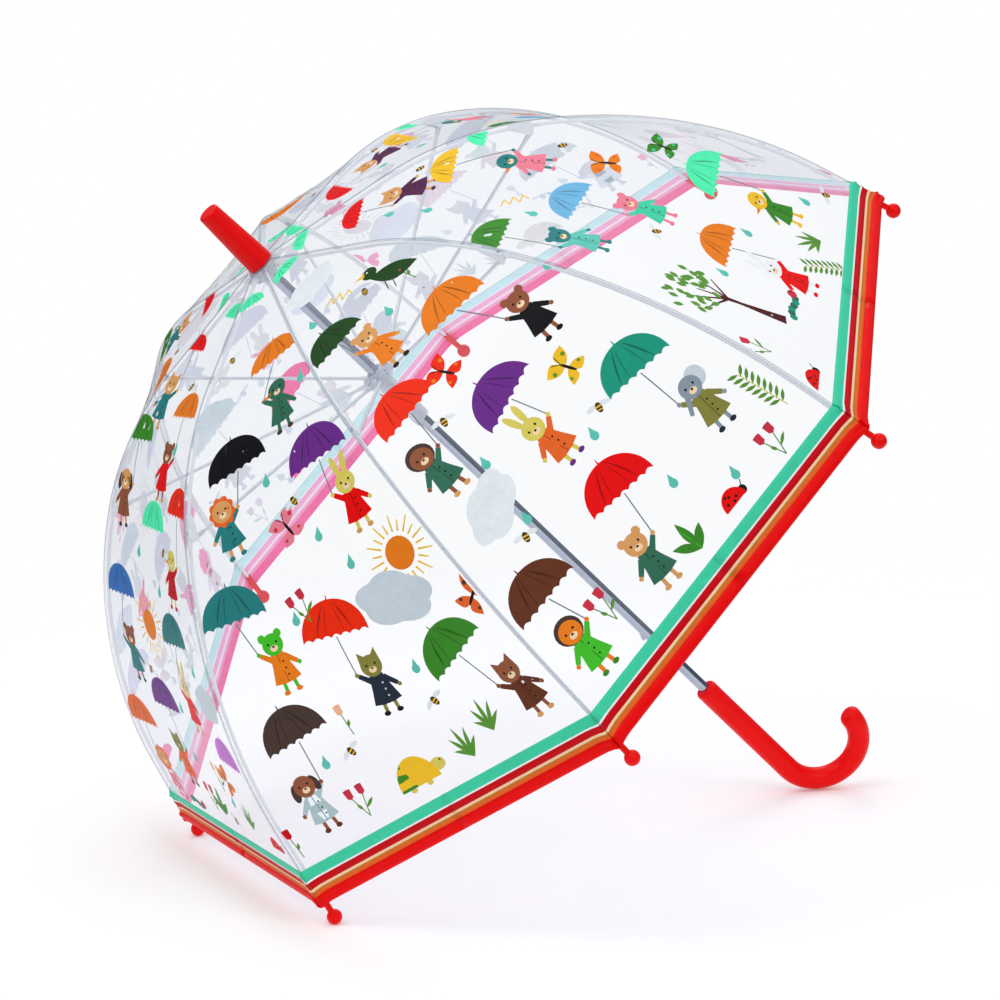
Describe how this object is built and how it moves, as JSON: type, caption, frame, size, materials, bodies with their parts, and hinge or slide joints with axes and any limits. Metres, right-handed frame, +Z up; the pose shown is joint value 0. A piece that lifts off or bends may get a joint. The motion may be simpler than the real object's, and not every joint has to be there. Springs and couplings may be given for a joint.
{
  "type": "children's umbrella",
  "caption": "Clear dome umbrella for a child: tube shaft with crook handle, ferrule cap, sliding runner, hinged ribs and stretchers, and printed film gores with a striped hem.",
  "frame": {"origin": "on the shaft's axis, halfway along the straight grip of the handle", "axes": "+Z up the shaft towards the ferrule, +X the way the crook opens"},
  "size_m": [0.6982, 0.6982, 0.6809],
  "materials": {
    "steel_tube": "drawn steel tube, blued grey",
    "red_plastic": "glossy moulded red plastic",
    "clear_film": "clear PVC film, printed",
    "clear_plastic": "clear moulded plastic",
    "wire": "bright steel",
    "rib_rod": "white glass-fibre rod",
    "stretcher_rod": "zinc-plated steel"
  },
  "bodies": {
    "root": {"shaft": "steel_tube", "handle": "red_plastic", "ferrule": "red_plastic", "crown_washer": "clear_film", "top_notch": "clear_plastic", "notch_wire": "wire", "stop_pin": "wire"},
    "runner": {"runner": "clear_plastic", "runner_wire": "wire"},
    "top_catch": {"top_catch": "wire"},
    "bottom_catch": {"bottom_catch": "wire"},
    "rib_1": {"rib_upper_1": "rib_rod", "canopy_upper_1": "clear_film"},
    "rib_end_1": {"rib_lower_1": "rib_rod", "rib_tip_1": "red_plastic", "canopy_lower_1": "clear_film"},
    "stretcher_1": {"stretcher_1": "stretcher_rod"},
    "rib_2": {"rib_upper_2": "rib_rod", "canopy_upper_2": "clear_film"},
    "rib_end_2": {"rib_lower_2": "rib_rod", "rib_tip_2": "red_plastic", "canopy_lower_2": "clear_film"},
    "stretcher_2": {"stretcher_2": "stretcher_rod"},
    "rib_3": {"rib_upper_3": "rib_rod", "canopy_upper_3": "clear_film"},
    "rib_end_3": {"rib_lower_3": "rib_rod", "rib_tip_3": "red_plastic", "canopy_lower_3": "clear_film"},
    "stretcher_3": {"stretcher_3": "stretcher_rod"},
    "rib_4": {"rib_upper_4": "rib_rod", "canopy_upper_4": "clear_film"},
    "rib_end_4": {"rib_lower_4": "rib_rod", "rib_tip_4": "red_plastic", "canopy_lower_4": "clear_film"},
    "stretcher_4": {"stretcher_4": "stretcher_rod"},
    "rib_5": {"rib_upper_5": "rib_rod", "canopy_upper_5": "clear_film"},
    "rib_end_5": {"rib_lower_5": "rib_rod", "rib_tip_5": "red_plastic", "canopy_lower_5": "clear_film"},
    "stretcher_5": {"stretcher_5": "stretcher_rod"},
    "rib_6": {"rib_upper_6": "rib_rod", "canopy_upper_6": "clear_film"},
    "rib_end_6": {"rib_lower_6": "rib_rod", "rib_tip_6": "red_plastic", "canopy_lower_6": "clear_film"},
    "stretcher_6": {"stretcher_6": "stretcher_rod"},
    "rib_7": {"rib_upper_7": "rib_rod", "canopy_upper_7": "clear_film"},
    "rib_end_7": {"rib_lower_7": "rib_rod", "rib_tip_7": "red_plastic", "canopy_lower_7": "clear_film"},
    "stretcher_7": {"stretcher_7": "stretcher_rod"},
    "rib_8": {"rib_upper_8": "rib_rod", "canopy_upper_8": "clear_film"},
    "rib_end_8": {"rib_lower_8": "rib_rod", "rib_tip_8": "red_plastic", "canopy_lower_8": "clear_film"},
    "stretcher_8": {"stretcher_8": "stretcher_rod"}
  },
  "joints": [
    {"name": "runner_slide", "type": "slide", "parent": "root", "child": "runner", "axis": [0, 0, -1], "range_m": [0, 0.27695], "deforming": ["canopy_upper_1", "canopy_upper_2", "canopy_upper_3", "canopy_upper_4", "canopy_upper_5", "canopy_upper_6", "canopy_upper_7", "canopy_upper_8", "canopy_lower_1", "canopy_lower_2", "canopy_lower_3", "canopy_lower_4", "canopy_lower_5", "canopy_lower_6", "canopy_lower_7", "canopy_lower_8", "top_catch", "bottom_catch"]},
    {"name": "rib_hinge_1", "type": "hinge", "parent": "root", "child": "rib_1", "pos_m": [0.0095, 0, 0.5325], "axis": [0, 1, 0], "range_deg": [0, 71.83]},
    {"name": "rib_elbow_1", "type": "hinge", "parent": "rib_1", "child": "rib_end_1", "pos_m": [0.2001, 0, 0.47789], "axis": [0, 1, 0], "range_deg": [-42.19, 0]},
    {"name": "stretcher_hinge_1", "type": "hinge", "parent": "rib_1", "child": "stretcher_1", "pos_m": [0.19743, 0, 0.47426], "axis": [0, 1, 0], "range_deg": [-143.62, 0]},
    {"name": "rib_hinge_2", "type": "hinge", "parent": "root", "child": "rib_2", "pos_m": [0.00672, 0.00672, 0.5325], "axis": [-0.7071, 0.7071, 0], "range_deg": [0, 71.83]},
    {"name": "rib_elbow_2", "type": "hinge", "parent": "rib_2", "child": "rib_end_2", "pos_m": [0.14149, 0.14149, 0.47789], "axis": [-0.7071, 0.7071, 0], "range_deg": [-42.19, 0]},
    {"name": "stretcher_hinge_2", "type": "hinge", "parent": "rib_2", "child": "stretcher_2", "pos_m": [0.1396, 0.1396, 0.47426], "axis": [-0.7071, 0.7071, 0], "range_deg": [-143.62, 0]},
    {"name": "rib_hinge_3", "type": "hinge", "parent": "root", "child": "rib_3", "pos_m": [0, 0.0095, 0.5325], "axis": [-1, 0, 0], "range_deg": [0, 71.83]},
    {"name": "rib_elbow_3", "type": "hinge", "parent": "rib_3", "child": "rib_end_3", "pos_m": [0, 0.2001, 0.47789], "axis": [-1, 0, 0], "range_deg": [-42.19, 0]},
    {"name": "stretcher_hinge_3", "type": "hinge", "parent": "rib_3", "child": "stretcher_3", "pos_m": [0, 0.19743, 0.47426], "axis": [-1, 0, 0], "range_deg": [-143.62, 0]},
    {"name": "rib_hinge_4", "type": "hinge", "parent": "root", "child": "rib_4", "pos_m": [-0.00672, 0.00672, 0.5325], "axis": [-0.7071, -0.7071, 0], "range_deg": [0, 71.83]},
    {"name": "rib_elbow_4", "type": "hinge", "parent": "rib_4", "child": "rib_end_4", "pos_m": [-0.14149, 0.14149, 0.47789], "axis": [-0.7071, -0.7071, 0], "range_deg": [-42.19, 0]},
    {"name": "stretcher_hinge_4", "type": "hinge", "parent": "rib_4", "child": "stretcher_4", "pos_m": [-0.1396, 0.1396, 0.47426], "axis": [-0.7071, -0.7071, 0], "range_deg": [-143.62, 0]},
    {"name": "rib_hinge_5", "type": "hinge", "parent": "root", "child": "rib_5", "pos_m": [-0.0095, 0, 0.5325], "axis": [0, -1, 0], "range_deg": [0, 71.83]},
    {"name": "rib_elbow_5", "type": "hinge", "parent": "rib_5", "child": "rib_end_5", "pos_m": [-0.2001, 0, 0.47789], "axis": [0, -1, 0], "range_deg": [-42.19, 0]},
    {"name": "stretcher_hinge_5", "type": "hinge", "parent": "rib_5", "child": "stretcher_5", "pos_m": [-0.19743, 0, 0.47426], "axis": [0, -1, 0], "range_deg": [-143.62, 0]},
    {"name": "rib_hinge_6", "type": "hinge", "parent": "root", "child": "rib_6", "pos_m": [-0.00672, -0.00672, 0.5325], "axis": [0.7071, -0.7071, 0], "range_deg": [0, 71.83]},
    {"name": "rib_elbow_6", "type": "hinge", "parent": "rib_6", "child": "rib_end_6", "pos_m": [-0.14149, -0.14149, 0.47789], "axis": [0.7071, -0.7071, 0], "range_deg": [-42.19, 0]},
    {"name": "stretcher_hinge_6", "type": "hinge", "parent": "rib_6", "child": "stretcher_6", "pos_m": [-0.1396, -0.1396, 0.47426], "axis": [0.7071, -0.7071, 0], "range_deg": [-143.62, 0]},
    {"name": "rib_hinge_7", "type": "hinge", "parent": "root", "child": "rib_7", "pos_m": [0, -0.0095, 0.5325], "axis": [1, 0, 0], "range_deg": [0, 71.83]},
    {"name": "rib_elbow_7", "type": "hinge", "parent": "rib_7", "child": "rib_end_7", "pos_m": [0, -0.2001, 0.47789], "axis": [1, 0, 0], "range_deg": [-42.19, 0]},
    {"name": "stretcher_hinge_7", "type": "hinge", "parent": "rib_7", "child": "stretcher_7", "pos_m": [0, -0.19743, 0.47426], "axis": [1, 0, 0], "range_deg": [-143.62, 0]},
    {"name": "rib_hinge_8", "type": "hinge", "parent": "root", "child": "rib_8", "pos_m": [0.00672, -0.00672, 0.5325], "axis": [0.7071, 0.7071, 0], "range_deg": [0, 71.83]},
    {"name": "rib_elbow_8", "type": "hinge", "parent": "rib_8", "child": "rib_end_8", "pos_m": [0.14149, -0.14149, 0.47789], "axis": [0.7071, 0.7071, 0], "range_deg": [-42.19, 0]},
    {"name": "stretcher_hinge_8", "type": "hinge", "parent": "rib_8", "child": "stretcher_8", "pos_m": [0.1396, -0.1396, 0.47426], "axis": [0.7071, 0.7071, 0], "range_deg": [-143.62, 0]},
    {"name": "top_catch_press", "type": "slide", "parent": "root", "child": "top_catch", "axis": [1, 0, 0], "range_m": [0, 0.002], "stiffness_N_per_m": 800},
    {"name": "bottom_catch_press", "type": "slide", "parent": "root", "child": "bottom_catch", "axis": [1, 0, 0], "range_m": [0, 0.002], "stiffness_N_per_m": 800}
  ],
  "couplings": [
    {"joint": "rib_hinge_1", "follows": "runner_slide", "rad_per_m": 4.5236},
    {"joint": "rib_elbow_1", "follows": "runner_slide", "rad_per_m": -2.6558},
    {"joint": "stretcher_hinge_1", "follows": "runner_slide", "rad_per_m": -9.0473},
    {"joint": "rib_hinge_2", "follows": "runner_slide", "rad_per_m": 4.5236},
    {"joint": "rib_elbow_2", "follows": "runner_slide", "rad_per_m": -2.6558},
    {"joint": "stretcher_hinge_2", "follows": "runner_slide", "rad_per_m": -9.0473},
    {"joint": "rib_hinge_3", "follows": "runner_slide", "rad_per_m": 4.5236},
    {"joint": "rib_elbow_3", "follows": "runner_slide", "rad_per_m": -2.6558},
    {"joint": "stretcher_hinge_3", "follows": "runner_slide", "rad_per_m": -9.0473},
    {"joint": "rib_hinge_4", "follows": "runner_slide", "rad_per_m": 4.5236},
    {"joint": "rib_elbow_4", "follows": "runner_slide", "rad_per_m": -2.6558},
    {"joint": "stretcher_hinge_4", "follows": "runner_slide", "rad_per_m": -9.0473},
    {"joint": "rib_hinge_5", "follows": "runner_slide", "rad_per_m": 4.5236},
    {"joint": "rib_elbow_5", "follows": "runner_slide", "rad_per_m": -2.6558},
    {"joint": "stretcher_hinge_5", "follows": "runner_slide", "rad_per_m": -9.0473},
    {"joint": "rib_hinge_6", "follows": "runner_slide", "rad_per_m": 4.5236},
    {"joint": "rib_elbow_6", "follows": "runner_slide", "rad_per_m": -2.6558},
    {"joint": "stretcher_hinge_6", "follows": "runner_slide", "rad_per_m": -9.0473},
    {"joint": "rib_hinge_7", "follows": "runner_slide", "rad_per_m": 4.5236},
    {"joint": "rib_elbow_7", "follows": "runner_slide", "rad_per_m": -2.6558},
    {"joint": "stretcher_hinge_7", "follows": "runner_slide", "rad_per_m": -9.0473},
    {"joint": "rib_hinge_8", "follows": "runner_slide", "rad_per_m": 4.5236},
    {"joint": "rib_elbow_8", "follows": "runner_slide", "rad_per_m": -2.6558},
    {"joint": "stretcher_hinge_8", "follows": "runner_slide", "rad_per_m": -9.0473}
  ]
}
